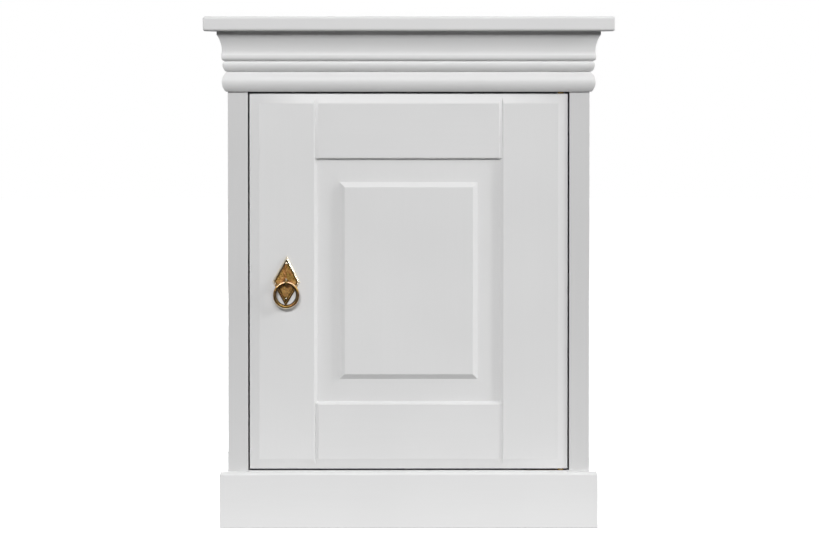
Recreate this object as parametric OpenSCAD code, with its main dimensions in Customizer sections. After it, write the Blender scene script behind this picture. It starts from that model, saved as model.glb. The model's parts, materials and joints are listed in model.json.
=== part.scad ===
// Bedside pot cupboard: white lacquered carcass with one framed, raised-panel door,
// a three-part cornice under the top board, a mitred plinth and a brass drop-ring pull.
// Millimetres, +Z up, the front faces -Y. The origin is on the floor, under the middle
// of the top board.

/* [Overall] */
// Height from the floor to the top of the top board
height = 640; // [560:10:720]
// Width of the carcass, over the two sides
carcass_w = 452; // [420:2:520]
// Depth of the top board, front to back
depth = 380; // [340:10:440]

/* [Top board] */
// Thickness of the top board
top_t = 18.5; // [16:0.1:22]
// Overhang of the top board past each side of the carcass
top_over = 30.5; // [26:0.5:40]
// Overhang of the top board past the front of the carcass
front_over = 26.5; // [24:0.5:40]
// Radius of the top board's eased arrises
top_round = 3.2; // [1:0.1:5]

/* [Cornice] */
// Projection of the fillet at the top of the cornice
cornice_out = 13.6; // [12.6:0.2:17]
// Projection at the bottom of the cove
cornice_in = 7.2; // [6.6:0.2:8]
// Height of the cove
cove_h = 20; // [16:0.2:22]
// Height of the half-round at the foot of the cornice
torus_h = 25.1; // [22:0.1:28]

/* [Plinth] */
// Height of the plinth
plinth_h = 70.6; // [60:0.1:80]
// Thickness of the plinth boards, which stand this far proud of the carcass
plinth_t = 10.7; // [8:0.1:14]
// Radius of the plinth's top arris
plinth_round = 4.5; // [1:0.5:5]

/* [Carcass] */
// Thickness of the sides, bottom, shelf and stretchers
board_t = 18; // [16:1:20]
// Width of the face frame's stiles
stile_w = 25; // [22:1:32]
// Thickness of the face frame and of the door
frame_t = 20; // [18:1:24]
// Thickness of the back panel
back_t = 6; // [4:1:8]
// Height of the shelf's underside above the floor
shelf_z = 300; // [270:5:330]

/* [Door] */
// Gap between the door and the frame at each side
gap_x = 2.1; // [1.6:0.1:3]
// Gap above and below the door
gap_z = 2.4; // [2.2:0.1:3]
// Width of the door's stiles
door_stile_w = 84.7; // [76:0.1:92]
// Width of the door's top rail
door_rail_w = 82.1; // [74:0.1:90]
// Width of the door's bottom rail
door_foot_w = 83.9; // [74:0.1:92]
// Width of the shallow fall round the door's edge
edge_cove_w = 13.2; // [10:0.1:14]
// Depth of that fall at the door's edge
edge_cove_d = 3; // [2:0.1:3]
// Width of the chamfer on the stiles' inner arrises
vee_w = 4.3; // [1.5:0.1:4.5]
// Width of the chamfer on the top rail's inner arris
vee_top_w = 2; // [1:0.1:3.5]
// Width of the chamfer on the bottom rail's inner arris
vee_foot_w = 3.4; // [1.5:0.1:3.5]
// How far the joint grooves run into the rails' ends
joint_step_w = 1.1; // [0.5:0.1:2]
// Depth of the joint grooves
joint_step_d = 1.5; // [0.8:0.1:1.6]
// Depth of the panel's border below the door's face
panel_drop = 5; // [5:0.5:7]
// Height of the raised field above the panel's border
field_rise = 6.2; // [3:0.1:7]
// How far the panel's border rises towards the bevel
border_rise = 1.0; // [0.2:0.1:1.5]
// Width of the bevel round the raised field
bevel_w = 6; // [5:0.2:12]
// Margin between the stiles and the foot of the bevel
field_margin_x = 28.0; // [20:0.2:36]
// Margin between the rails and the foot of the bevel
field_margin_z = 28.6; // [20:0.1:36]

/* [Pull] */
// Distance of the pull's centre line from the door's left edge
pull_in = 45.7; // [38:0.1:56]
// Height of the ring's pivot above the floor
pull_z = 307.3; // [250:0.1:360]
// Mean radius of the ring
ring_r = 14.6; // [13:0.1:17]
// Diameter of the ring's wire
ring_wire = 4; // [3:0.1:4]
// Width of the back plate
plate_w = 34.8; // [30:0.2:40]

/* [Hidden] */
$fn = 48;

// colours
white = [0.93, 0.93, 0.92];
raw_wood = [0.80, 0.68, 0.50];
brass = [0.72, 0.55, 0.28];
steel = [0.70, 0.70, 0.72];
plastic = [0.88, 0.88, 0.86];
ferrite = [0.22, 0.21, 0.21];

// levels and planes
hw = carcass_w / 2;                  // half the carcass width
yb = depth / 2;                      // back plane
yf = -depth / 2 + front_over;         // front plane of the frame and the door
ym = yf + frame_t;                   // back plane of the frame and the door
zt = height - top_t;                 // underside of the top board
fil_h = 4.7;                         // height of the cornice's top fillet
lip_h = 12.3;                        // height of the lip under the cove
quirk_h = 1.6;                       // height of the sunk quirk under the lip
bead_h = 11.6;                       // height of the bead
cornice_h = fil_h + cove_h + lip_h + quirk_h + bead_h + 0.2 + torus_h;
z_rail = zt - cornice_h - 0.1;       // underside of the frame's top rail
z_sill = plinth_h + 1.0;             // top of the frame's bottom rail and of the bottom
xo = hw - stile_w;                   // half the door opening
xi = hw - board_t;                   // inner face of a side
rebate = 8;                          // how far the back panel is let into each side
dado = 5;                            // how far the bottom is let into each side

// door planes
dx = xo - gap_x;                     // half the door's width
dz0 = z_sill + gap_z;                // bottom of the door
dz1 = z_rail - gap_z;                // top of the door
ox = dx - door_stile_w;              // half the width of the panel opening
oz0 = dz0 + door_foot_w;
oz1 = dz1 - door_rail_w;
oz = (oz0 + oz1) / 2;
gy0 = yf + panel_drop;               // front of the panel groove
groove_t = 6;
groove_d = 8;

// hinge leaves and their axis
leaf_w = 8;
leaf_l = 42;                         // between the centres of the leaf's round ends
leaf_t = 2.5;
pin_r = 2;
hx = dx - 8.5;
hy = yf + 7.5;
leaf_screws = [-17, -34];

// pull
px = -dx + pull_in;
py = yf - 6.5;                       // the ring's plane
plate_up = 32 * plate_w / 34.8;
plate_down = 30 * plate_w / 34.8;
plate_z = pull_z + 1.7;
plate_base = 1.5;
plate_rim = 3;
plate_rim_w = 2.2;
plate_pins = [plate_z + plate_up * 0.74, plate_z - plate_down * 0.69];
kite_a = sqrt(pow(plate_w / 2, 2) + pow(plate_up, 2));
kite_b = sqrt(pow(plate_w / 2, 2) + pow(plate_down, 2));
kite_r = plate_w * (plate_up + plate_down) / 2 / (kite_a + kite_b);
kite_c = plate_up - kite_r * kite_a / (plate_w / 2);
eye_r = 4.6;
eye_t = 5;
eye_hole = ring_wire / 2 + 0.5;
stud_r = 2;

// catch
cz = 360;
cbx = -xi + 12;                      // face of the packing block
magnet_y = ym + 1.5;

// points along an arc, from angle a0 to a1
function arc(cx, cy, r, a0, a1, n) =
  [for (i = [0:n]) let (a = a0 + (a1 - a0) * i / n) [cx + r * cos(a), cy + r * sin(a)]];

// the radius of an arc with this rise over this half chord
function rise_r(c, s) = (c * c + s * s) / (2 * s);

// a prism of a polygon in Y and Z, run along X
module along_x(x0, x1, pts) {
  translate([x0, 0, 0]) rotate([90, 0, 90]) linear_extrude(x1 - x0) polygon(pts);
}

// a prism of a polygon in X and Z, run along Y
module along_y(y0, y1, pts) {
  translate([0, y1, 0]) rotate([90, 0, 0]) linear_extrude(y1 - y0) polygon(pts);
}

// a box between two corners
module box(a, b) { translate(a) cube(b - a); }

// a cylinder along X or Y, from one end to the other
module rod_x(x0, x1, y, z, r) { translate([x0, y, z]) rotate([0, 90, 0]) cylinder(r = r, h = x1 - x0); }
module rod_y(x, y0, y1, z, r) { translate([x, y0, z]) rotate([-90, 0, 0]) cylinder(r = r, h = y1 - y0); }

// ---------------------------------------------------------------- top board
module top_board() {
  w = hw + top_over;
  r = top_round;
  y0 = -depth / 2;
  color(white) difference() {
    intersection() {
      along_x(-w, w, concat(
        [[yb, zt], [yb, height]],
        arc(y0 + r, height - r, r, 90, 180, 6),
        arc(y0 + r, zt + r, r, 180, 270, 6)));
      along_y(y0, yb, concat(
        arc(w - r, height - r, r, 0, 90, 6),
        arc(-w + r, height - r, r, 90, 180, 6),
        arc(-w + r, zt + r, r, 180, 270, 6),
        arc(w - r, zt + r, r, 270, 360, 6)));
      translate([0, 0, zt]) linear_extrude(top_t) polygon(concat(
        [[w, yb], [-w, yb]],
        arc(-w + 2, y0 + 2, 2, 180, 270, 4),
        arc(w - 2, y0 + 2, 2, 270, 360, 4)));
    }
    for (p = top_screw_at()) translate([p[0], p[1], zt - 1]) cylinder(r = 2, h = 13);
  }
}

function top_screw_at() = [for (x = [-1, 0, 1], y = [ym + 20, yb - back_t - 30]) [x * (xi - 58), y]];

// ---------------------------------------------------------------- cornice
// projection p from the carcass, and drop u below the top board
cove_r = rise_r(cove_h, cornice_out - 0.4 - cornice_in);
u1 = fil_h + cove_h;                 // bottom of the cove
u2 = u1 + 8;                         // where the lip turns under
u3 = u1 + lip_h;                     // foot of the lip
u4 = u3 + quirk_h;                   // top of the bead
u5 = u4 + bead_h;                    // foot of the bead
u6 = u5 + 0.2;                       // top of the half-round
bead_r = 10.5;
torus_r = 16.7;
torus_v = 13.2;                      // from the half-round's top to its widest point
cornice_pts = concat(
  [[0, 0], [cornice_out, 0], [cornice_out, fil_h]],
  [for (i = [0:14]) let (u = fil_h + cove_h * i / 14)
    [cornice_in + cove_r - sqrt(pow(cove_r, 2) - pow(u1 - u, 2)), u]],
  [for (i = [1:6]) let (v = 5.5 * i / 6)
    [cornice_in + 19.3 - sqrt(pow(19.3, 2) - pow(v, 2)), u1 + v]],
  [for (i = [0:9]) let (a = 75 * i / 9)
    [cornice_in + 0.8 - 4.4 + 4.4 * cos(a), u2 + 4.4 * sin(a)]],
  [[cornice_in - 3, u3], [cornice_in - 3, u4]],
  [for (i = [0:12]) let (v = -3.5 + bead_h * i / 12)
    [cornice_in - 0.85 - bead_r + sqrt(pow(bead_r, 2) - pow(v, 2)), u4 + 3.5 + v]],
  [for (i = [0:20]) let (v = -torus_v + torus_h * i / 20)
    [cornice_in + 0.15 - torus_r + sqrt(pow(torus_r, 2) - pow(v, 2)), u6 + torus_v + v]],
  [[0, cornice_h]]);

// what a mitred front length, and a side length, covers in plan
module mitre_front(out) {
  linear_extrude(height) polygon([[-hw, yf], [hw, yf], [hw + out, yf - out], [-hw - out, yf - out]]);
}
module mitre_side(out) {
  linear_extrude(height) polygon([[hw, yf], [hw + out, yf - out], [hw + out, yb], [hw, yb]]);
}

module cornice_front() {
  color(white) intersection() {
    along_x(-hw - 30, hw + 30, [for (p = cornice_pts) [yf - p[0], zt - p[1]]]);
    mitre_front(25);
  }
}
module cornice_right() {
  color(white) intersection() {
    along_y(yf - 30, yb, [for (p = cornice_pts) [hw + p[0], zt - p[1]]]);
    mitre_side(25);
  }
}
module cornice_left() { mirror([1, 0, 0]) cornice_right(); }

// ---------------------------------------------------------------- plinth
plinth_pts = concat(
  [[0, 0], [plinth_t, 0]],
  [for (i = [0:6]) let (a = 90 * i / 6)
    [plinth_t - plinth_round + plinth_round * cos(a), plinth_h - plinth_round + plinth_round * sin(a)]],
  [[0, plinth_h]]);
module plinth_front() {
  color(white) intersection() {
    along_x(-hw - 30, hw + 30, [for (p = plinth_pts) [yf - p[0], p[1]]]);
    mitre_front(20);
  }
}
module plinth_right() {
  color(white) intersection() {
    along_y(yf - 30, yb, [for (p = plinth_pts) [hw + p[0], p[1]]]);
    mitre_side(20);
  }
}
module plinth_left() { mirror([1, 0, 0]) plinth_right(); }

// ---------------------------------------------------------------- face frame
frame_dowel_z = [zt - 18, zt - 50, z_sill - 24, z_sill - 46];
module frame_dowel_set(r) {
  for (s = [-1, 1], z = frame_dowel_z) rod_x(s * xo - 15, s * xo + 15, (yf + ym) / 2, z, r);
}
module frame_stile_right() {
  color(white) difference() {
    box([xo, yf, 0], [hw, ym, zt]);
    frame_dowel_set(3);
  }
}
module frame_stile_left() {
  color(white) difference() {
    box([-hw, yf, 0], [-xo, ym, zt]);
    frame_dowel_set(3);
  }
}
module frame_top_rail() {
  color(white) difference() {
    box([-xo, yf, z_rail], [xo, ym, zt]);
    frame_dowel_set(3);
    translate([hx, hy, z_rail]) leaf_seat();
  }
}
module frame_bottom_rail() {
  color(white) difference() {
    box([-xo, yf, z_sill - 60], [xo, ym, z_sill]);
    frame_dowel_set(3);
    translate([hx, hy, z_sill]) mirror([0, 0, 1]) leaf_seat();
  }
}
module frame_dowels() { color(raw_wood) frame_dowel_set(3); }

// ---------------------------------------------------------------- carcass
pin_zs = [shelf_z - 2.5 - 32, shelf_z - 2.5, shelf_z - 2.5 + 32];
pin_ys = [ym + 55, yb - 50];
stretcher_y = [[ym, ym + 40], [yb - back_t - 60, yb - back_t]];
stretcher_dowel_y = [ym + 10, ym + 30, yb - back_t - 45, yb - back_t - 15];
stretcher_dowel_z = zt - board_t / 2;

module stretcher_dowel_set(r) {
  for (s = [-1, 1], y = stretcher_dowel_y) rod_x(s > 0 ? xi - 18 : -xi - 12, s > 0 ? xi + 12 : -xi + 18, y, stretcher_dowel_z, r);
}

// the right side; the left one is its mirror image
module side_blank() {
  difference() {
    box([xi, ym, 0], [hw, yb, zt]);
    box([xi - 1, yb - back_t, -1], [xi + rebate, yb + 1, zt + 1]);
    box([xi - 1, ym - 1, z_sill - board_t], [xi + dado, yb - back_t + 1, z_sill]);
    for (y = pin_ys, z = pin_zs) rod_x(xi - 1, xi + 9, y, z, 2.5);
    for (y = stretcher_dowel_y) rod_x(xi - 1, xi + 12, y, stretcher_dowel_z, 4);
    for (z = back_pin_z()) rod_y(xi + 4, yb - back_t - 14, yb - back_t + 1, z, 0.8);
  }
}
module side_panel_right() { color(white) side_blank(); }
module side_panel_left() {
  color(white) difference() {
    mirror([1, 0, 0]) side_blank();
    for (z = [cz - 20, cz + 20]) rod_x(-xi - 6, -xi + 1, magnet_y + 9, z, 1.5);
  }
}

module bottom_panel() {
  color(white) difference() {
    box([-xi - dado, ym, z_sill - board_t], [xi + dado, yb - back_t, z_sill]);
    for (x = back_pin_x()) rod_y(x, yb - back_t - 14, yb - back_t + 1, z_sill - board_t / 2, 0.8);
  }
}

function back_pin_z() = [120, (zt + 40) / 2, zt - 122];
function back_pin_x() = [-xi / 2, xi / 2];
function back_pin_at() = concat(
  [for (s = [-1, 1], z = back_pin_z()) [s * (xi + 4), z]],
  [for (x = back_pin_x(), z = [z_sill - board_t / 2, zt - board_t / 2]) [x, z]]);

module back_panel() {
  color(white) difference() {
    box([-xi - rebate + 0.5, yb - back_t, 40], [xi + rebate - 0.5, yb, zt - 0.5]);
    for (p = back_pin_at()) back_pin(p);
  }
}
module back_pin(p) {
  rod_y(p[0], yb - back_t - 14, yb - 0.8, p[1], 0.8);
  rod_y(p[0], yb - 0.8, yb, p[1], 2);
}
module back_panel_pins() { color(steel) for (p = back_pin_at()) back_pin(p); }

module stretcher(y) {
  difference() {
    box([-xi, y[0], zt - board_t], [xi, y[1], zt]);
    stretcher_dowel_set(4);
    for (p = top_screw_at()) translate([p[0], p[1], zt - board_t]) top_screw();
    for (x = back_pin_x()) rod_y(x, yb - back_t - 14, yb - back_t + 1, zt - board_t / 2, 0.8);
  }
}
module top_stretcher_front() { color(white) stretcher(stretcher_y[0]); }
module top_stretcher_rear() { color(white) stretcher(stretcher_y[1]); }
module stretcher_dowels() { color(raw_wood) stretcher_dowel_set(4); }

// a countersunk screw, its head's face at z = 0 and its shank rising
module screw(head_r, shank_r, len) {
  difference() {
    union() {
      cylinder(r1 = head_r, r2 = shank_r, h = head_r - shank_r);
      translate([0, 0, head_r - shank_r]) cylinder(r = shank_r, h = len - head_r + shank_r);
    }
    translate([-head_r * 0.8, -0.4, -1]) cube([head_r * 1.6, 0.8, 1.6]);
  }
}
// the same without its slot, to cut its own hole
module screw_hole(head_r, shank_r, len) {
  cylinder(r1 = head_r, r2 = shank_r, h = head_r - shank_r);
  translate([0, 0, head_r - shank_r]) cylinder(r = shank_r, h = len - head_r + shank_r);
}
module top_screw() { screw_hole(4, 2, 30); }
module top_fixing_screws() {
  color(steel) for (p = top_screw_at()) translate([p[0], p[1], zt - board_t]) screw(4, 2, 30);
}

// three-cornered blocks glued under the bottom
module glue_blocks() {
  z = z_sill - board_t;
  color(raw_wood) {
    for (s = [-1, 1], y = [ym + 40, yb - 110])
      along_y(y, y + 60, [[s * xi, z], [s * xi, z - 22], [s * (xi - 22), z]]);
    for (s = [-1, 1])
      along_x(s * 110 - 30, s * 110 + 30, [[ym, z], [ym, z - 22], [ym + 22, z]]);
  }
}

// ---------------------------------------------------------------- shelf
module shelf() {
  color(white) box([-xi + 1.5, ym + 22, shelf_z], [xi - 1.5, yb - back_t - 3, shelf_z + board_t]);
}
module shelf_pins() {
  color(steel) for (s = [0, 1]) mirror([s, 0, 0]) for (y = pin_ys) {
    rod_x(xi - 8, xi + 8, y, shelf_z - 2.5, 2.5);
    rod_x(xi - 1.2, xi, y, shelf_z - 2.5, 4);
  }
}

// ---------------------------------------------------------------- hinges
// a round-ended leaf: its axis at the origin, its face at z = 0, its body rising
module leaf_blank() {
  translate([-leaf_l, -leaf_w / 2, 0]) cube([leaf_l, leaf_w, leaf_t]);
  cylinder(r = leaf_w / 2, h = leaf_t);
  translate([-leaf_l, 0, 0]) cylinder(r = leaf_w / 2, h = leaf_t);
}
// the pocket for a leaf, with the pilot holes for its screws
module leaf_seat() {
  leaf_blank();
  for (x = leaf_screws) translate([x, 0, 0]) cylinder(r = 1.5, h = 15);
}
module leaf(bore) {
  difference() {
    leaf_blank();
    translate([0, 0, -1]) cylinder(r = bore, h = leaf_t + 2);
    for (x = leaf_screws) translate([x, 0, 0]) screw_hole(3, 1.5, 15);
  }
}
module leaf_screw_set() {
  for (x = leaf_screws) translate([x, 0, 0]) screw(3, 1.5, 15);
}
module hinge_frame_leaf_top() { color(brass) translate([hx, hy, z_rail]) leaf(pin_r); }
module hinge_frame_leaf_bottom() { color(brass) translate([hx, hy, z_sill]) mirror([0, 0, 1]) leaf(pin_r); }
module hinge_door_leaf_top() { color(brass) translate([hx, hy, dz1]) mirror([0, 0, 1]) leaf(pin_r + 0.05); }
module hinge_door_leaf_bottom() { color(brass) translate([hx, hy, dz0]) leaf(pin_r + 0.05); }
module hinge_pins() {
  l = leaf_t * 2 + gap_z - 0.3;
  color(steel) {
    translate([hx, hy, z_rail + leaf_t - l]) cylinder(r = pin_r, h = l);
    translate([hx, hy, z_sill - leaf_t]) cylinder(r = pin_r, h = l);
  }
}
module hinge_washers() {
  color(brass) for (z = [dz1 + 0.05, z_sill]) translate([hx, hy, z]) difference() {
    cylinder(r = 3.9, h = gap_z - 0.05);
    translate([0, 0, -1]) cylinder(r = pin_r + 0.1, h = gap_z + 2);
  }
}
module hinge_frame_screws() {
  color(brass) {
    translate([hx, hy, z_rail]) leaf_screw_set();
    translate([hx, hy, z_sill]) mirror([0, 0, 1]) leaf_screw_set();
  }
}
module hinge_door_screws() {
  color(brass) {
    translate([hx, hy, dz1]) mirror([0, 0, 1]) leaf_screw_set();
    translate([hx, hy, dz0]) leaf_screw_set();
  }
}

// ---------------------------------------------------------------- catch
module catch_block() {
  color(white) difference() {
    box([-xi, ym + 3, cz - 32], [cbx, ym + 23, cz + 32]);
    for (z = [cz - 20, cz + 20]) rod_x(-xi - 1, cbx + 1, magnet_y + 9, z, 1.5);
  }
}
module catch_body() {
  y0 = magnet_y + 0.8;
  color(plastic) difference() {
    union() {
      box([cbx, y0, cz - 25], [cbx + 3, y0 + 16, cz + 25]);
      box([cbx, y0, cz - 15], [cbx + 13, y0 + 16, cz + 15]);
    }
    box([cbx + 2.5, y0 - 1, cz - 13], [cbx + 10.5, y0 + 9, cz + 13]);
    for (z = [cz - 20, cz + 20]) translate([cbx + 3, magnet_y + 9, z]) rotate([0, -90, 0]) screw_hole(3, 1.5, 20);
  }
}
module catch_magnet() {
  color(ferrite) box([cbx + 2.5, magnet_y, cz - 13], [cbx + 10.5, magnet_y + 9.8, cz + 13]);
}
module catch_screws() {
  color(steel) for (z = [cz - 20, cz + 20]) translate([cbx + 3, magnet_y + 9, z]) rotate([0, -90, 0]) screw(3, 1.5, 20);
}
sx = cbx + 6.5;                      // middle of the strike plate
module strike_plate() {
  color(steel) difference() {
    box([sx - 7, ym, cz - 18], [sx + 7, ym + 1.2, cz + 18]);
    for (z = [cz - 15, cz + 15]) translate([sx, ym + 1.2, z]) rotate([90, 0, 0]) screw_hole(2.2, 1.2, 12);
  }
}
module strike_screws() {
  color(steel) for (z = [cz - 15, cz + 15]) translate([sx, ym + 1.2, z]) rotate([90, 0, 0]) screw(2.2, 1.2, 12);
}

// ---------------------------------------------------------------- door
edge_round = 2.4;                    // how much of the fall's width rounds over into the face
edge_slope = edge_cove_d / (edge_cove_w - edge_round / 2);
function edge_depth(t) = t < edge_cove_w - edge_round
  ? edge_cove_d - edge_slope * t
  : edge_slope * pow(edge_cove_w - t, 2) / edge_round / 2;
// what the shallow fall takes away, in from the door's edge and down from its face
edge_cove_pts = concat(
  [[-1, -1], [-1, edge_cove_d]],
  [for (i = [0:6]) let (t = edge_cove_w - edge_round + edge_round * i / 6) [t, edge_depth(t)]],
  [[edge_cove_w, -1]]);

module edge_cove() {
  for (m = [0, 1]) mirror([m, 0, 0]) translate([0, 0, dz0 - 1]) linear_extrude(dz1 - dz0 + 2)
    polygon([for (p = edge_cove_pts) [dx - p[0], yf + p[1]]]);
  along_x(-dx - 1, dx + 1, [for (p = edge_cove_pts) [yf + p[1], dz1 - p[0]]]);
  along_x(-dx - 1, dx + 1, [for (p = edge_cove_pts) [yf + p[1], dz0 + p[0]]]);
}

// the triangle that a chamfer of this width and depth takes from an edge at a, running the way k, below the face at b
function chamfer(a, k, b, m, w, d) = let (t = d / w)
  [[a - k, b + m], [a + k * (w - m / t), b + m], [a - k, b + d + t]];

module door_stile() {
  difference() {
    box([ox, yf, dz0], [dx, ym, dz1]);
    edge_cove();
    translate([0, 0, dz0 - 1]) linear_extrude(dz1 - dz0 + 2)
      polygon(chamfer(ox, 1, yf, -1, vee_w, vee_w));
    box([ox - 1, gy0, dz0 - 1], [ox + groove_d, gy0 + groove_t, dz1 + 1]);
  }
}
module door_stile_right() {
  color(white) difference() {
    door_stile();
    translate([hx, hy, dz1]) mirror([0, 0, 1]) leaf_seat();
    translate([hx, hy, dz0]) leaf_seat();
  }
}
module door_stile_left() {
  color(white) difference() {
    mirror([1, 0, 0]) door_stile();
    rod_y(px, yf - 1, ym + 1, pull_z, stud_r + 0.2);
    for (z = plate_pins) rod_y(px, yf - 1, yf + 9, z, 0.75);
    for (z = [cz - 15, cz + 15]) rod_y(sx, ym - 10.8, ym + 1, z, 1.2);
  }
}

// a rail, its outer edge at z0 and its inner edge at z1
module door_rail(z0, z1, vee) {
  lo = min(z0, z1);
  hi = max(z0, z1);
  s = z1 > z0 ? 1 : -1;
  difference() {
    union() {
      box([-ox, yf, lo], [ox, ym, hi]);
      box([-ox - groove_d + 0.5, gy0, lo], [ox + groove_d - 0.5, gy0 + groove_t, hi]);
      // the cope that lies on the stile's chamfer
      for (m = [0, 1]) mirror([m, 0, 0]) translate([0, 0, lo]) linear_extrude(hi - lo)
        polygon([[ox - 1, yf + joint_step_d - 0.1], [ox + vee_w - joint_step_d - 0.05, yf + joint_step_d],
          [ox, yf + vee_w - 0.05], [ox - 1, yf + vee_w - 0.05]]);
    }
    edge_cove();
    for (m = [0, 1]) mirror([m, 0, 0]) translate([0, 0, lo - 1]) linear_extrude(hi - lo + 2)
      polygon([[ox + 6, yf - 1], [ox - joint_step_w - 0.1, yf - 1], [ox - joint_step_w - 0.1, yf],
        [ox - joint_step_w, yf + joint_step_d - 0.2], [ox + vee_w - joint_step_d - 0.05, yf + joint_step_d],
        [ox + 6, yf + joint_step_d]]);
    along_x(-ox - 6, ox + 6, [for (p = chamfer(z1, -s, yf, -1, vee, 3.4)) [p[1], p[0]]]);
    box([-ox - groove_d - 1, gy0, min(z1 - s * groove_d, z1 + s)], [ox + groove_d + 1, gy0 + groove_t, max(z1 - s * groove_d, z1 + s)]);
  }
}
module door_top_rail() { color(white) door_rail(dz1, oz1, vee_top_w); }
module door_bottom_rail() { color(white) door_rail(dz0, oz0, vee_foot_w); }

module door_panel() {
  fx = ox - field_margin_x;
  fz = (oz1 - oz0) / 2 - field_margin_z;
  yr = gy0 - field_rise;
  yb0 = gy0 - border_rise;
  color(white) union() {
    box([-ox - groove_d + 1, gy0, oz0 - groove_d + 1], [ox + groove_d - 1, gy0 + groove_t, oz1 + groove_d - 1]);
    intersection() {
      translate([0, 0, oz0 + 0.5]) linear_extrude(oz1 - oz0 - 1) polygon([
        [-ox + 0.5, gy0 + 1], [-ox + 0.5, gy0], [-fx, yb0], [-fx + bevel_w, yr],
        [fx - bevel_w, yr], [fx, yb0], [ox - 0.5, gy0], [ox - 0.5, gy0 + 1]]);
      along_x(-ox + 0.5, ox - 0.5, [
        [gy0 + 1, oz0 + 0.5], [gy0, oz0 + 0.5], [yb0, oz - fz], [yr, oz - fz + bevel_w],
        [yr, oz + fz - bevel_w], [yb0, oz + fz], [gy0, oz1 - 0.5], [gy0 + 1, oz1 - 0.5]]);
    }
  }
}

// ---------------------------------------------------------------- pull
kite = [[0, plate_up], [plate_w / 2, 0], [0, -plate_down], [-plate_w / 2, 0]];
function kite_inset(w) = [for (p = kite) [p[0] * (1 - w / kite_r), kite_c + (p[1] - kite_c) * (1 - w / kite_r)]];

// a plate of this outline, between two depths in front of the door
module kite_plate(pts, d0, d1) {
  translate([px, yf - d0, plate_z]) rotate([90, 0, 0]) linear_extrude(d1 - d0) polygon(pts);
}
module pull_backplate() {
  color(brass) difference() {
    kite_plate(kite, 0, plate_rim);
    kite_plate(kite_inset(plate_rim_w), plate_base, plate_rim + 1);
    rod_y(px, yf - plate_rim - 1, yf + 1, pull_z, 3);
    for (z = plate_pins) rod_y(px, yf - plate_rim - 1, yf + 1, z, 0.75);
  }
}
module pull_pins() {
  color(brass) for (z = plate_pins) {
    rod_y(px, yf - plate_base, yf + 9, z, 0.75);
    translate([px, yf - plate_base, z]) rotate([90, 0, 0]) {
      cylinder(r = 1.5, h = 0.5);
      translate([0, 0, 0.5]) cylinder(r1 = 1.5, r2 = 0.9, h = 0.6);
    }
  }
}
module pull_post() {
  color(brass) difference() {
    union() {
      rod_x(px - eye_t / 2, px + eye_t / 2, py, pull_z, eye_r);
      rod_y(px, yf - 3.2, yf, pull_z, 3);
      rod_y(px, yf, ym + 5.5, pull_z, stud_r);
    }
    rod_x(px - eye_t, px + eye_t, py, pull_z, eye_hole);
  }
}
module pull_washer() {
  color(brass) difference() {
    rod_y(px, ym, ym + 1, pull_z, 4.5);
    rod_y(px, ym - 1, ym + 2, pull_z, stud_r + 0.2);
  }
}
module pull_nut() {
  color(brass) difference() {
    translate([px, ym + 1, pull_z]) rotate([-90, 0, 0]) cylinder(r = 4.04, h = 3.2, $fn = 6);
    rod_y(px, ym, ym + 6, pull_z, stud_r);
  }
}
module pull_ring() {
  color(brass) translate([px, py, pull_z - ring_r]) rotate([90, 0, 0])
    rotate_extrude() translate([ring_r, 0]) circle(r = ring_wire / 2);
}

top_board();
cornice_front();
cornice_left();
cornice_right();
frame_stile_left();
frame_stile_right();
frame_top_rail();
frame_bottom_rail();
frame_dowels();
side_panel_left();
side_panel_right();
bottom_panel();
back_panel();
top_stretcher_front();
top_stretcher_rear();
stretcher_dowels();
glue_blocks();
shelf();
shelf_pins();
plinth_front();
plinth_left();
plinth_right();
top_fixing_screws();
back_panel_pins();
hinge_frame_leaf_top();
hinge_frame_leaf_bottom();
hinge_pins();
hinge_washers();
hinge_frame_screws();
catch_block();
catch_body();
catch_magnet();
catch_screws();
door_stile_left();
door_stile_right();
door_top_rail();
door_bottom_rail();
door_panel();
hinge_door_leaf_top();
hinge_door_leaf_bottom();
hinge_door_screws();
strike_plate();
strike_screws();
pull_backplate();
pull_post();
pull_washer();
pull_nut();
pull_pins();
pull_ring();
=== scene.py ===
"""Looks of the bedside pot cupboard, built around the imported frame."""
import json
import math

import bmesh
import bpy
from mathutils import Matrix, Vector


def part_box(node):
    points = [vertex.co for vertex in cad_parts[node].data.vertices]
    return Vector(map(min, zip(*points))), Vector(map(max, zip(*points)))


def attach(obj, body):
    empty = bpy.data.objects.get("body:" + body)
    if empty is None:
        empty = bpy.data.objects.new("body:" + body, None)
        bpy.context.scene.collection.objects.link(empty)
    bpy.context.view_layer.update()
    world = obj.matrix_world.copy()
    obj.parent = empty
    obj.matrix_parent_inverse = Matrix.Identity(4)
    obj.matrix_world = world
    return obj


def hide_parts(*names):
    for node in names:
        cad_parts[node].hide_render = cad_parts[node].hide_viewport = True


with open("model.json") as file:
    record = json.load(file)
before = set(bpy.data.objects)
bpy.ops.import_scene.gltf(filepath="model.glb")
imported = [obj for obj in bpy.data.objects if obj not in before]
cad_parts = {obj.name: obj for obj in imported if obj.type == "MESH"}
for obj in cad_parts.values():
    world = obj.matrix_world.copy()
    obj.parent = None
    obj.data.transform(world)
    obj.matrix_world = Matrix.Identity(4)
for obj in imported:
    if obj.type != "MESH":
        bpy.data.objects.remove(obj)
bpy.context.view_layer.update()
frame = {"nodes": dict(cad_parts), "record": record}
nodes = frame["nodes"]
scene = bpy.context.scene

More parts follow.
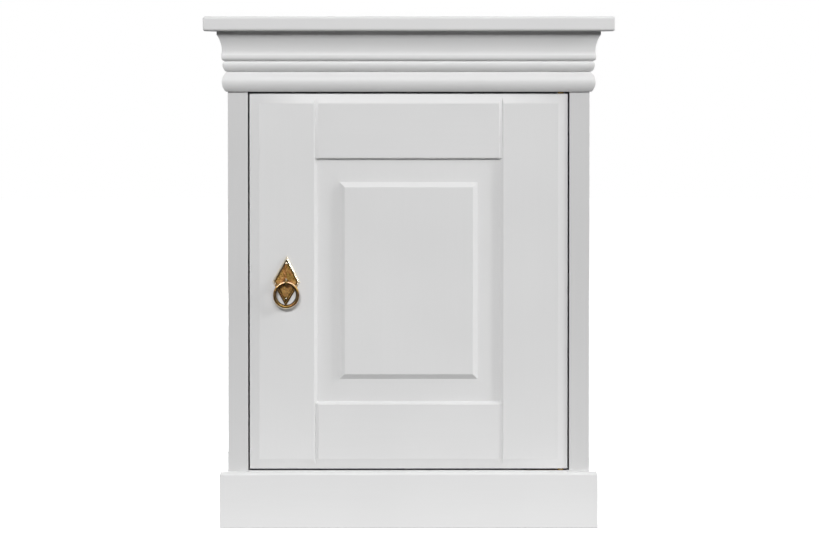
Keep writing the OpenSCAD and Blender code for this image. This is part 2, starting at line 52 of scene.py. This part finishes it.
# ------------------------------------------------------------------ camera
YF = -0.1635                 # front plane of the frame and the door
PX = 0.00125                 # metres a pixel on that plane, 819 pixels across
DIST = 7.0
cam_data = bpy.data.cameras.new("camera")
cam = bpy.data.objects.new("camera", cam_data)
scene.collection.objects.link(cam)
cam_data.sensor_width = 36
cam_data.lens = 36 * DIST / PX / 819
cam_data.clip_start = 0.1
cam_data.clip_end = 60
cam.location = (-0.050, YF - DIST, 0.614)
aim = Vector((0.0010, YF, 0.3193))
cam.rotation_euler = (aim - cam.location).to_track_quat("-Z", "Y").to_euler()
scene.camera = cam

scene.view_settings.view_transform = "Standard"
scene.view_settings.look = "None"
scene.view_settings.exposure = 0
scene.view_settings.gamma = 1


# ------------------------------------------------------------------ node helpers
class Graph:
    """Builds one material's nodes."""

    def __init__(self, name):
        self.mat = bpy.data.materials.new(name)
        self.mat.use_nodes = True
        self.nt = self.mat.node_tree
        self.nt.nodes.clear()
        out = self.nt.nodes.new("ShaderNodeOutputMaterial")
        self.bsdf = self.nt.nodes.new("ShaderNodeBsdfPrincipled")
        self.nt.links.new(self.bsdf.outputs[0], out.inputs[0])
        self.coord = self.nt.nodes.new("ShaderNodeTexCoord").outputs["Object"]

    def set(self, **values):
        for k, v in values.items():
            self.bsdf.inputs[k.replace("_", " ")].default_value = v

    def link(self, a, b):
        self.nt.links.new(a, b)

    def scaled(self, xyz, rot=(0, 0, 0), loc=(0, 0, 0)):
        n = self.nt.nodes.new("ShaderNodeMapping")
        n.inputs["Scale"].default_value = xyz
        n.inputs["Rotation"].default_value = rot
        n.inputs["Location"].default_value = loc
        self.link(self.coord, n.inputs["Vector"])
        return n.outputs[0]

    def noise(self, vector, scale, detail=2.0, rough=0.5, distort=0.0):
        n = self.nt.nodes.new("ShaderNodeTexNoise")
        n.inputs["Scale"].default_value = scale
        n.inputs["Detail"].default_value = detail
        n.inputs["Roughness"].default_value = rough
        n.inputs["Distortion"].default_value = distort
        self.link(vector, n.inputs["Vector"])
        return n.outputs["Fac"]

    def voronoi(self, vector, scale, feature="F1"):
        n = self.nt.nodes.new("ShaderNodeTexVoronoi")
        n.feature = feature
        n.inputs["Scale"].default_value = scale
        self.link(vector, n.inputs["Vector"])
        return n.outputs["Distance"]

    def map(self, value, a, b, c, d):
        n = self.nt.nodes.new("ShaderNodeMapRange")
        for k, v in zip(("From Min", "From Max", "To Min", "To Max"), (a, b, c, d)):
            n.inputs[k].default_value = v
        self.link(value, n.inputs["Value"])
        return n.outputs[0]

    def math(self, op, a, b):
        n = self.nt.nodes.new("ShaderNodeMath")
        n.operation = op
        for k, v in enumerate((a, b)):
            if hasattr(v, "node"):
                self.link(v, n.inputs[k])
            else:
                n.inputs[k].default_value = v
        return n.outputs[0]

    def ramp(self, value, stops):
        n = self.nt.nodes.new("ShaderNodeValToRGB")
        el = n.color_ramp.elements
        while len(el) < len(stops):
            el.new(0.5)
        for e, (pos, col) in zip(el, stops):
            e.position = pos
            e.color = (*col, 1)
        self.link(value, n.inputs[0])
        return n.outputs[0]

    def mix(self, fac, a, b, mode="MIX"):
        n = self.nt.nodes.new("ShaderNodeMix")
        n.data_type = "RGBA"
        n.blend_type = mode
        for k, v in ((0, fac), (6, a), (7, b)):
            if hasattr(v, "node"):
                self.link(v, n.inputs[k])
            else:
                n.inputs[k].default_value = v if k == 0 else (*v, 1)
        return n.outputs[2]

    def bump(self, height, distance, strength=1.0, under=None):
        n = self.nt.nodes.new("ShaderNodeBump")
        n.inputs["Distance"].default_value = distance
        n.inputs["Strength"].default_value = strength
        self.link(height, n.inputs["Height"])
        if under is not None:
            self.link(under, n.inputs["Normal"])
        return n.outputs[0]

    def attribute(self, name):
        n = self.nt.nodes.new("ShaderNodeAttribute")
        n.attribute_name = name
        return n.outputs["Fac"]


# ------------------------------------------------------------------ materials
def lacquer(name, tone, grain="z"):
    """Sprayed white satin lacquer: orange peel, a trace of the grain under it, and slow drifts of tone and gloss."""
    g = Graph(name)
    stretch = {"x": (0.03, 1, 1), "y": (1, 0.03, 1), "z": (1, 1, 0.03)}[grain]
    slow = g.noise(g.coord, 7.0, 2.0)
    lines = g.noise(g.scaled(stretch), 320.0, 3.0, 0.6)
    peel = g.noise(g.coord, 620.0, 1.0)
    tint = g.math("ADD", g.map(slow, 0.3, 0.7, 0.986, 1.010), g.map(lines, 0.3, 0.7, -0.004, 0.004))
    shade = g.math("MULTIPLY", tint, tone)
    comb = g.nt.nodes.new("ShaderNodeCombineColor")
    for k in range(3):
        g.link(shade, comb.inputs[k])
    g.link(comb.outputs[0], g.bsdf.inputs["Base Color"])
    g.link(g.map(slow, 0.3, 0.7, 0.40, 0.48), g.bsdf.inputs["Roughness"])
    g.set(Specular_IOR_Level=0.45, Coat_Weight=0.08, Coat_Roughness=0.3)
    n = g.bump(peel, 0.00002, 0.35)
    n = g.bump(lines, 0.00004, 0.30, n)
    g.link(n, g.bsdf.inputs["Normal"])
    return g.mat


def bare_wood(name, grain="z"):
    """Planed softwood, with growth rings along its length."""
    g = Graph(name)
    stretch = {"x": (0.06, 1, 1), "y": (1, 0.06, 1), "z": (1, 1, 0.06)}[grain]
    v = g.scaled(stretch)
    rings = g.nt.nodes.new("ShaderNodeTexWave")
    rings.wave_type = "RINGS"
    rings.rings_direction = grain.upper()
    rings.inputs["Scale"].default_value = 90
    rings.inputs["Distortion"].default_value = 5
    rings.inputs["Detail"].default_value = 2
    g.link(v, rings.inputs["Vector"])
    fine = g.noise(v, 900.0, 3.0, 0.6)
    col = g.ramp(rings.outputs["Fac"], [(0.0, (0.60, 0.44, 0.26)), (0.6, (0.68, 0.52, 0.33)), (1.0, (0.46, 0.31, 0.16))])
    col = g.mix(g.map(fine, 0.35, 0.65, 0.0, 0.35), col, (0.40, 0.27, 0.14))
    g.link(col, g.bsdf.inputs["Base Color"])
    g.link(g.map(fine, 0.3, 0.7, 0.55, 0.72), g.bsdf.inputs["Roughness"])
    g.link(g.bump(fine, 0.0001, 0.4), g.bsdf.inputs["Normal"])
    return g.mat


def plated(name, colour, dark, rough=(0.22, 0.38), grain=(1, 1, 0.05)):
    """Plated metal hardware: a drawn or brushed grain and a faint tarnish."""
    g = Graph(name)
    stain = g.noise(g.coord, 160.0, 3.0, 0.6)
    brush = g.noise(g.scaled(grain), 2600.0, 2.0)
    g.link(g.mix(g.map(stain, 0.42, 0.72, 0.0, 0.7), colour, dark), g.bsdf.inputs["Base Color"])
    g.link(g.math("ADD", g.map(stain, 0.3, 0.7, *rough), g.map(brush, 0.3, 0.7, -0.03, 0.05)), g.bsdf.inputs["Roughness"])
    g.set(Metallic=1.0)
    g.link(g.bump(brush, 0.00002, 0.25), g.bsdf.inputs["Normal"])
    return g.mat


def moulded(name):
    """Fine-textured moulded plastic."""
    g = Graph(name)
    grit = g.noise(g.coord, 2200.0, 2.0)
    slow = g.noise(g.coord, 60.0, 2.0)
    g.link(g.ramp(slow, [(0.3, (0.72, 0.72, 0.69)), (0.7, (0.78, 0.78, 0.75))]), g.bsdf.inputs["Base Color"])
    g.link(g.map(grit, 0.3, 0.7, 0.42, 0.58), g.bsdf.inputs["Roughness"])
    g.link(g.bump(grit, 0.00003, 0.5), g.bsdf.inputs["Normal"])
    return g.mat


def ferrite(name):
    """A sintered magnet with ground faces."""
    g = Graph(name)
    speck = g.voronoi(g.coord, 1400.0)
    lines = g.noise(g.scaled((1, 1, 0.02)), 1800.0, 2.0)
    g.link(g.ramp(speck, [(0.0, (0.035, 0.034, 0.036)), (0.6, (0.075, 0.072, 0.074)), (1.0, (0.12, 0.115, 0.115))]), g.bsdf.inputs["Base Color"])
    g.link(g.map(lines, 0.3, 0.7, 0.45, 0.70), g.bsdf.inputs["Roughness"])
    g.set(Metallic=0.35)
    g.link(g.bump(lines, 0.00004, 0.5), g.bsdf.inputs["Normal"])
    return g.mat


TONE = {
    "door": 0.80, "frame": 0.69, "cornice": 0.80, "plinth": 0.81, "top": 0.80, "inside": 0.78}
LACQUERED = {
    "top_board": ("top", "x"),
    "cornice_front": ("cornice", "x"), "cornice_left": ("cornice", "y"), "cornice_right": ("cornice", "y"),
    "frame_stile_left": ("frame", "z"), "frame_stile_right": ("frame", "z"),
    "frame_top_rail": ("frame", "x"), "frame_bottom_rail": ("plinth", "x"),
    "side_panel_left": ("frame", "z"), "side_panel_right": ("frame", "z"),
    "bottom_panel": ("inside", "x"), "back_panel": ("inside", "z"),
    "top_stretcher_front": ("inside", "x"), "top_stretcher_rear": ("inside", "x"),
    "shelf": ("inside", "x"), "catch_block": ("inside", "z"),
    "plinth_front": ("plinth", "x"), "plinth_left": ("plinth", "y"), "plinth_right": ("plinth", "y"),
    "door_stile_left": ("door", "z"), "door_stile_right": ("door", "z"),
    "door_top_rail": ("door", "x"), "door_bottom_rail": ("door", "x"), "door_panel": ("door", "z")}

SLOT = {s["node"]: s["material_slot"] for s in frame["record"]["subparts"]}


def finish(node, mat):
    o = nodes[node]
    o.data.materials.clear()
    o.data.materials.append(mat)


def soften(node, width, segments=3):
    """Breaks the arrises of a CAD piece, as sanding and spraying do."""
    o = nodes[node]
    me = o.data
    if "custom_normal" in me.attributes:
        me.attributes.remove(me.attributes["custom_normal"])
    me.polygons.foreach_set("use_smooth", [True] * len(me.polygons))
    w = o.modifiers.new("weld", "WELD")
    w.merge_threshold = 0.00001
    d = o.modifiers.new("flat", "DECIMATE")
    d.decimate_type = "DISSOLVE"
    d.angle_limit = math.radians(0.5)
    b = o.modifiers.new("arris", "BEVEL")
    b.width = width
    b.segments = segments
    b.limit_method = "ANGLE"
    b.angle_limit = math.radians(32)
    b.miter_outer = "MITER_ARC"
    b.use_clamp_overlap = True
    b.harden_normals = False
    n = o.modifiers.new("shade", "WEIGHTED_NORMAL")
    n.mode = "FACE_AREA"
    n.weight = 60
    n.keep_sharp = False


made = {}
for node, (tone, grain) in LACQUERED.items():
    key = f"lacquer_{tone}_{grain}"
    if key not in made:
        made[key] = lacquer(key, TONE[tone], grain)
    finish(node, made[key])
    soften(node, 0.0005 if node in ("catch_block", "back_panel") or node.startswith("door_") else 0.0008)

brass = plated("brass_hardware", (0.62, 0.44, 0.19), (0.30, 0.19, 0.08), (0.28, 0.42), (0.05, 1, 1))
steel = plated("zinc_hardware", (0.66, 0.66, 0.67), (0.42, 0.42, 0.44), (0.22, 0.36))
wood = {k: bare_wood("bare_wood_" + k, k) for k in "xy"}
plastic = moulded("catch_plastic")
magnet = ferrite("catch_magnet_core")
OTHERS = {
    "frame_dowels": wood["x"], "stretcher_dowels": wood["x"], "glue_blocks": wood["y"],
    "catch_body": plastic, "catch_magnet": magnet}
for node, slot in SLOT.items():
    if node in LACQUERED:
        continue
    if node in OTHERS:
        finish(node, OTHERS[node])
    else:
        finish(node, steel if slot == "steel" else brass)

# ------------------------------------------------------------------ the pull
def piece(name, verts, faces, mat, body, slot, replaced, smooth=True):
    """A detailed mesh, in millimetres here and metres in the scene, in place of CAD nodes."""
    me = bpy.data.meshes.new(name)
    me.from_pydata([tuple(c / 1000 for c in v) for v in verts], [], faces)
    me.validate()
    b = bmesh.new()
    b.from_mesh(me)
    bmesh.ops.remove_doubles(b, verts=b.verts, dist=0.000002)
    bmesh.ops.recalc_face_normals(b, faces=b.faces)
    b.to_mesh(me)
    b.free()
    me.polygons.foreach_set("use_smooth", [smooth] * len(me.polygons))
    me.materials.append(mat)
    o = bpy.data.objects.new(name, me)
    scene.collection.objects.link(o)
    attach(o, body)
    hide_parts(*replaced)
    return o


def skin(loops, closed=False, cap0=True, cap1=True):
    """Faces between loops of equal length; caps are fans round each end loop's middle."""
    verts = [v for l in loops for v in l]
    n = len(loops[0])
    faces = []
    m = len(loops)
    for i in range(m if closed else m - 1):
        j = (i + 1) % m
        for k in range(n):
            q = (k + 1) % n
            faces.append((i * n + k, i * n + q, j * n + q, j * n + k))
    for use, i in ((cap0, 0), (cap1, m - 1)):
        if use and not closed:
            c = [sum(v[a] for v in loops[i]) / n for a in range(3)]
            verts.append(tuple(c))
            for k in range(n):
                faces.append((i * n + k, i * n + (k + 1) % n, len(verts) - 1))
    return verts, faces


def join(*parts):
    verts, faces = [], []
    for v, f in parts:
        k = len(verts)
        verts += v
        faces += [tuple(i + k for i in t) for t in f]
    return verts, faces


def lathe_y(x, z, profile, n=40):
    """A turned shape on an axis along Y: profile is (radius, y)."""
    loops = [[(x + r * math.cos(2 * math.pi * k / n), y, z + r * math.sin(2 * math.pi * k / n)) for k in range(n)]
             for r, y in profile]
    return skin(loops)


YFM = YF * 1000
YMM = YFM + 20
PXM, PZM = -153.2, 307.3          # the ring's pivot
PYM = YFM - 6.5
PLZ = PZM + 1.3                   # middle of the back plate
UP, DOWN, HALF = 32.3, 30.9, 17.4
KA, KB = math.hypot(HALF, UP), math.hypot(HALF, DOWN)
KR = HALF * (UP + DOWN) / (KA + KB)
KC = UP - KR * KA / HALF
LEAN = math.radians(1.4)          # the plate was pinned on a little out of true


def lean(x, z):
    c, s = math.cos(LEAN), math.sin(LEAN)
    x, z = x - PXM, z - PZM
    return PXM + x * c + z * s, PZM - x * s + z * c


def antique_brass_painted_light(name):
    """Antiqued brass with painted light: a mottled gold and copper field, dark lacquer and painted shade where the
    per-point value is low, a painted warmer lift of the field in the middle range, and rubbed bright edges with
    painted highlights where it is high.
    """
    g = Graph(name)
    rub_and_painted_light = g.attribute("rub_and_painted_light")
    cloud = g.noise(g.coord, 480.0, 3.0, 0.6, 0.8)
    patch = g.noise(g.scaled((1, 1, 0.6), loc=(0.013, 0.0, 0.021)), 190.0, 2.0, 0.5)
    fine = g.noise(g.coord, 1900.0, 3.0, 0.6)
    field = g.mix(g.map(patch, 0.48, 0.62, 0.0, 1.0), (0.38, 0.228, 0.058), (0.45, 0.190, 0.068))
    field = g.mix(g.map(cloud, 0.46, 0.62, 0.0, 0.95), field, (0.10, 0.062, 0.012))
    field = g.mix(g.map(cloud, 0.42, 0.32, 0.0, 0.75), field, (0.78, 0.52, 0.22))
    field = g.mix(g.map(fine, 0.54, 0.74, 0.0, 0.40), field, (0.62, 0.46, 0.20))
    # painted light: where the per-point value is 0.34 to 0.48, mostly the plate's lower half, the field is lifted to a
    # warmer, brighter gold
    painted_warm_lift = g.mix(g.map(cloud, 0.44, 0.58, 0.0, 1.0), (1.0, 0.60, 0.19), (0.52, 0.25, 0.075))
    field = g.mix(g.map(rub_and_painted_light, 0.34, 0.48, 0.0, 0.85), field, g.mix(g.map(patch, 0.46, 0.60, 0.0, 0.7), painted_warm_lift, (0.74, 0.30, 0.12)))
    # painted shade: towards value 0 the colour falls to a near-black brown, in the plate's groove, round the eye and
    # pins and along the ring's inside; it also stands for dark lacquer left in recesses
    painted_shade_and_lacquer = g.mix(g.map(rub_and_painted_light, 0.0, 0.30, 1.0, 0.0), field, (0.085, 0.060, 0.038))
    # painted highlight: above 0.52 the colour goes to pale gold and the surface gets glossier, on rims, pin heads, the
    # top of the eye and lines on the ring, together with rubbed wear
    wear_and_sheen = g.math("ADD", rub_and_painted_light, g.map(fine, 0.3, 0.7, -0.10, 0.10))
    g.link(g.mix(g.map(wear_and_sheen, 0.52, 0.80, 0.0, 1.0), painted_shade_and_lacquer, (0.93, 0.85, 0.68)), g.bsdf.inputs["Base Color"])
    rough = g.map(wear_and_sheen, 0.50, 0.90, 0.47, 0.17)
    g.link(g.math("ADD", rough, g.map(cloud, 0.3, 0.7, -0.05, 0.07)), g.bsdf.inputs["Roughness"])
    g.set(Metallic=1.0)
    n = g.bump(cloud, 0.00016, 0.5)
    g.link(g.bump(fine, 0.00004, 0.5, n), g.bsdf.inputs["Normal"])
    return g.mat


def rub_and_painted_light(o, f):
    """Per point, from 0 to 1: 0 gives dark lacquer and painted shade, as in a recess, and 1 gives a rubbed edge with a
    painted highlight.
    """
    a = o.data.attributes.new("rub_and_painted_light", "FLOAT", "POINT")
    a.data.foreach_set("value", [f(v.co * 1000) for v in o.data.vertices])


pull_brass = antique_brass_painted_light("antique_brass_painted_light")


def kite_loop(w, d):
    """The kite outline, w in from its edge and d in front of the door. Each side is split, so that shading follows it."""
    pts = [(0, UP), (HALF, 0), (0, -DOWN), (-HALF, 0)]
    k = 1 - w / KR
    pts = [(x * k, KC + (z - KC) * k) for x, z in pts]
    out = []
    for i in range(4):
        a, b = pts[i], pts[(i + 1) % 4]
        for t in range(8):
            x, z = lean(PXM + a[0] + (b[0] - a[0]) * t / 8, PLZ + a[1] + (b[1] - a[1]) * t / 8)
            out.append((x, YFM - d, z))
    return out


PLATE = [(0.0, 0.0), (0.0, 0.9), (0.15, 1.2), (1.55, 2.8), (1.8, 3.0), (2.05, 3.0), (2.3, 2.8), (2.65, 1.75), (2.95, 1.5),
         (3.5, 1.5), (4.6, 1.6), (6.2, 1.85), (8.0, 2.05), (10.0, 2.2), (12.0, 2.3), (14.0, 2.4)]
verts, faces = skin([kite_loop(w, d) for w, d in PLATE])
plate = piece("kite_back_plate", verts, faces, pull_brass, "door", "brass", ["pull_backplate"])
PINS = (PLZ + UP * 0.715, PLZ - DOWN * 0.70)


def plate_painted_light(v):
    d = YFM - v.y
    c, s = math.cos(LEAN), math.sin(LEAN)
    x, z = v.x - PXM, v.z - PZM
    x, z = x * c - z * s, x * s + z * c + PZM - PLZ
    side = z - KC
    w = KR - (abs(x) * (UP if side > 0 else DOWN) + abs(side) * HALF) / (KA if side > 0 else KB)
    # painted highlights on the outer wall, on the upper rims and the lower rims near the corners; painted shade on the
    # lower rims inside the ring and in the groove inside the rim
    if w < 0.1:
        return 0.25 if d < 0.5 else 0.7
    if w < 2.4:
        if side > 0:
            return 0.94
        return 0.80 if side > -7 else (0.10 if w < 1.7 else 0.42)
    if w < 3.1:
        return 0.0
    # painted shade round the eye and the pins, and a painted lift on the lower half of the field
    near = min([math.hypot(x, z + PLZ - PZM - 1) / 7] + [math.hypot(x, z + PLZ - p) / 3 for p in PINS])
    most = 0.46 if side < 0 else 0.30 + 0.05 * min(max(-side / 4 + 1, 0), 1)
    return 0.05 + most * min(max(near - 0.2, 0) / 0.6, 1) * min((w - 3.0) / 1.0, 1)


rub_and_painted_light(plate, plate_painted_light)
m = plate.modifiers.new("arris", "BEVEL")
m.width = 0.00020
m.segments = 2
m.limit_method = "ANGLE"
m.angle_limit = math.radians(18)
m = plate.modifiers.new("shade", "WEIGHTED_NORMAL")
m.keep_sharp = False

# the pins
parts = []
for z in PINS:
    px, pz = lean(PXM, z)
    dome = [(1.45 * math.sin(t * math.pi / 16), YFM - 1.7 - 0.2 - 1.0 * math.cos(t * math.pi / 16)) for t in range(1, 9)]
    parts.append(lathe_y(px, pz, [(0.02, YFM - 2.9)] + dome + [(1.45, YFM - 1.45), (0.75, YFM - 1.4), (0.75, YFM + 8.0), (0.1, YFM + 9.0)], 24))
pins = piece("plate_pins", *join(*parts), pull_brass, "door", "brass", ["pull_pins"])
# painted highlight on the domed pin heads, painted shade on the shanks
rub_and_painted_light(pins, lambda v: 0.97 if v.y < YFM - 2.3 else 0.04)

# the eye, on its collar, with the threaded stud behind it
loops = []
N = 48
for k in range(N):
    t = 2 * math.pi * k / N                       # from the top, towards the front
    up = max(math.cos(t), 0) ** 3
    mid, half = 3.62 + 0.85 * up, 1.08 + 0.75 * up
    wide = 1.75 - 0.75 * up
    loops.append([(PXM + wide * math.sin(2 * math.pi * q / 20),
                   PYM - (mid + half * math.cos(2 * math.pi * q / 20)) * math.sin(t),
                   PZM + (mid + half * math.cos(2 * math.pi * q / 20)) * math.cos(t)) for q in range(20)])
eye = skin(loops, closed=True)
collar = lathe_y(PXM, PZM, [(1.2, YFM - 3.6), (1.7, YFM - 3.5), (2.1, YFM - 3.1), (2.4, YFM - 2.7), (3.1, YFM - 2.5), (3.45, YFM - 2.3), (3.4, YFM - 2.0), (2.9, YFM - 1.7),
                            (2.9, YFM - 0.1), (2.0, YFM), (2.0, YMM + 1.0)]
                 + [(2.0 if k % 2 else 1.72, YMM + 1.2 + 0.3 * k) for k in range(14)] + [(1.5, YMM + 5.35), (1.0, YMM + 5.5)], 32)
post = piece("eye_post", *join(eye, collar), pull_brass, "door", "brass", ["pull_post"])
# painted highlight along the top of the eye; painted shade on the collar and the rest of the eye
rub_and_painted_light(post, lambda v: 0.30 if v.y > YFM + 10 else (0.04 if v.y > YFM - 3.6 else (0.97 if v.z > PZM + 2.6 and abs(v.x - PXM) < 1.2 else 0.14)))

# the ring: a little taller than wide, and heavier at the bottom
loops = []
N = 96
for k in range(N):
    t = 2 * math.pi * k / N
    drop = (1 - math.cos(t)) / 2
    r = 1.95 + 0.75 * drop ** 1.5
    cx, cz = 14.2 * math.sin(t), -15.1 + 15.1 * math.cos(t)
    nx, nz = 15.1 * math.sin(t), 14.2 * math.cos(t)
    ln = math.hypot(nx, nz)
    nx, nz = nx / ln, nz / ln
    loops.append([(PXM + cx + r * math.cos(2 * math.pi * q / 28) * nx, PYM - (r - 0.08) * math.sin(2 * math.pi * q / 28),
                   PZM + cz + r * math.cos(2 * math.pi * q / 28) * nz) for q in range(28)])
ring = piece("drop_ring", *skin(loops, closed=True), pull_brass, "ring", "brass", ["pull_ring"])


def ring_painted_light(v):
    """Painted light on the ring: a gold painted highlight at the top, a dark brown painted reflection at the sides, a
    painted bright reflection along the bottom, and painted shade along the inside.
    """
    x, z = v.x - PXM, v.z - (PZM - 15.1)
    t = abs(math.atan2(x / 14.2, z / 15.1))
    out = math.hypot(x, z) - math.hypot(14.2 * math.sin(t), 15.1 * math.cos(t))
    s = out / (1.95 + 0.75 * ((1 - math.cos(t)) / 2) ** 1.5)
    top = 0.63 if s > 0.1 else (0.30 if s > -0.3 else 0.02)
    side = 0.60 if s > 0.80 else (0.07 if s > -0.3 else 0.04)
    foot = 0.86 if s > 0.50 else (0.03 if s > 0.12 else (0.30 if s > -0.45 else 0.03))
    if t < 1.4:
        k = min(max((t - 0.8) / 0.6, 0), 1)
        return top * (1 - k) + side * k
    k = min(max((t - 2.0) / 0.6, 0), 1)
    return side * (1 - k) + foot * k


rub_and_painted_light(ring, ring_painted_light)

# ------------------------------------------------------------------ stage and light
world = bpy.data.worlds.new("world")
scene.world = world
world.use_nodes = True
nt = world.node_tree
nt.nodes.clear()
AMBIENT = 0.015
wout = nt.nodes.new("ShaderNodeOutputWorld")
mixs = nt.nodes.new("ShaderNodeMixShader")
path = nt.nodes.new("ShaderNodeLightPath")
amb = nt.nodes.new("ShaderNodeBackground")
white = nt.nodes.new("ShaderNodeBackground")
amb.inputs[0].default_value = (1, 1, 1, 1)
amb.inputs[1].default_value = AMBIENT
white.inputs[0].default_value = (1, 1, 1, 1)
white.inputs[1].default_value = 1.0
nt.links.new(path.outputs["Is Camera Ray"], mixs.inputs[0])
nt.links.new(amb.outputs[0], mixs.inputs[1])
nt.links.new(white.outputs[0], mixs.inputs[2])
nt.links.new(mixs.outputs[0], wout.inputs[0])

bm = bmesh.new()
bmesh.ops.create_grid(bm, x_segments=2, y_segments=2, size=14)
me = bpy.data.meshes.new("floor")
bm.to_mesh(me)
bm.free()
floor = bpy.data.objects.new("floor", me)
floor.location = (0, 0, -0.0003)
scene.collection.objects.link(floor)
g = Graph("floor_white")
g.set(Emission_Color=(1, 1, 1, 1), Emission_Strength=1.0, Roughness=0.8, Specular_IOR_Level=0.0)
g.link(g.ramp(g.noise(g.coord, 3.0), [(0.3, (0.85, 0.85, 0.85)), (0.7, (0.88, 0.88, 0.88))]), g.bsdf.inputs["Base Color"])
me.materials.append(g.mat)
floor.visible_diffuse = False
floor.visible_glossy = False


def softbox(name, azimuth, elevation, distance, size, power, centre=(0, -0.16, 0.33)):
    """An area light that faces the object. Azimuth 0 is straight in front, and grows to the right."""
    data = bpy.data.lights.new(name, "AREA")
    data.shape = "RECTANGLE"
    data.size, data.size_y = size
    data.energy = power
    o = bpy.data.objects.new(name, data)
    scene.collection.objects.link(o)
    a, e = math.radians(azimuth), math.radians(elevation)
    c = Vector(centre)
    o.location = c + distance * Vector((math.sin(a) * math.cos(e), -math.cos(a) * math.cos(e), math.sin(e)))
    o.rotation_euler = (c - o.location).to_track_quat("-Z", "Y").to_euler()
    return o


# two boxes high in front, a tall strip at the right, softer light from the left, and a little from low down and behind
softbox("front_left", -15, 26.8, 6.5, (2.29, 0.80), 191)
softbox("front_left_high", -15, 32, 6.5, (2.29, 1.02), 16)
softbox("front_right", 15, 32, 6.5, (2.29, 1.02), 82)
softbox("front_low", 13, 3, 6.5, (2.29, 0.68), 7)
softbox("right_soft", 52, 20, 6.5, (1.83, 1.37), 26)
softbox("strip_right", 73, 20, 6.5, (0.68, 1.83), 137)
softbox("strip_right_edge", 79, 17, 6.5, (0.68, 1.83), 24)
softbox("strip_right_top", 74, 56, 6.5, (0.90, 1.83), 28)
softbox("left_low", -76, 5, 6.5, (2.06, 1.14), 27)
softbox("left_high", -58, 16, 6.5, (2.06, 1.37), 10)
softbox("rear", 180, 14, 6.5, (5.0, 2.4), 190)
softbox("rear_top", 180, 76, 6.5, (4.0, 3.0), 48)
softbox("rear_left", -116, 14, 6.5, (3.0, 2.4), 165)
softbox("rear_right", 116, 14, 6.5, (3.0, 2.4), 80)


def bounce(name, y0, y1, width, power):
    """Light that the floor in front of the plinth throws back."""
    data = bpy.data.lights.new(name, "AREA")
    data.shape = "RECTANGLE"
    data.size, data.size_y = width, y1 - y0
    data.energy = power
    o = bpy.data.objects.new(name, data)
    scene.collection.objects.link(o)
    o.location = (0, plinth_y - (y0 + y1) / 2, 0.0004)
    o.rotation_euler = (math.pi, 0, 0)
    o.visible_camera = False
    return o


plinth_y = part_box("plinth_front")[0][1]
bounce("bounce_near", -0.001, 0.078, 1.6, 0.19)
bounce("bounce_far", 0.078, 0.228, 1.6, 0.34)
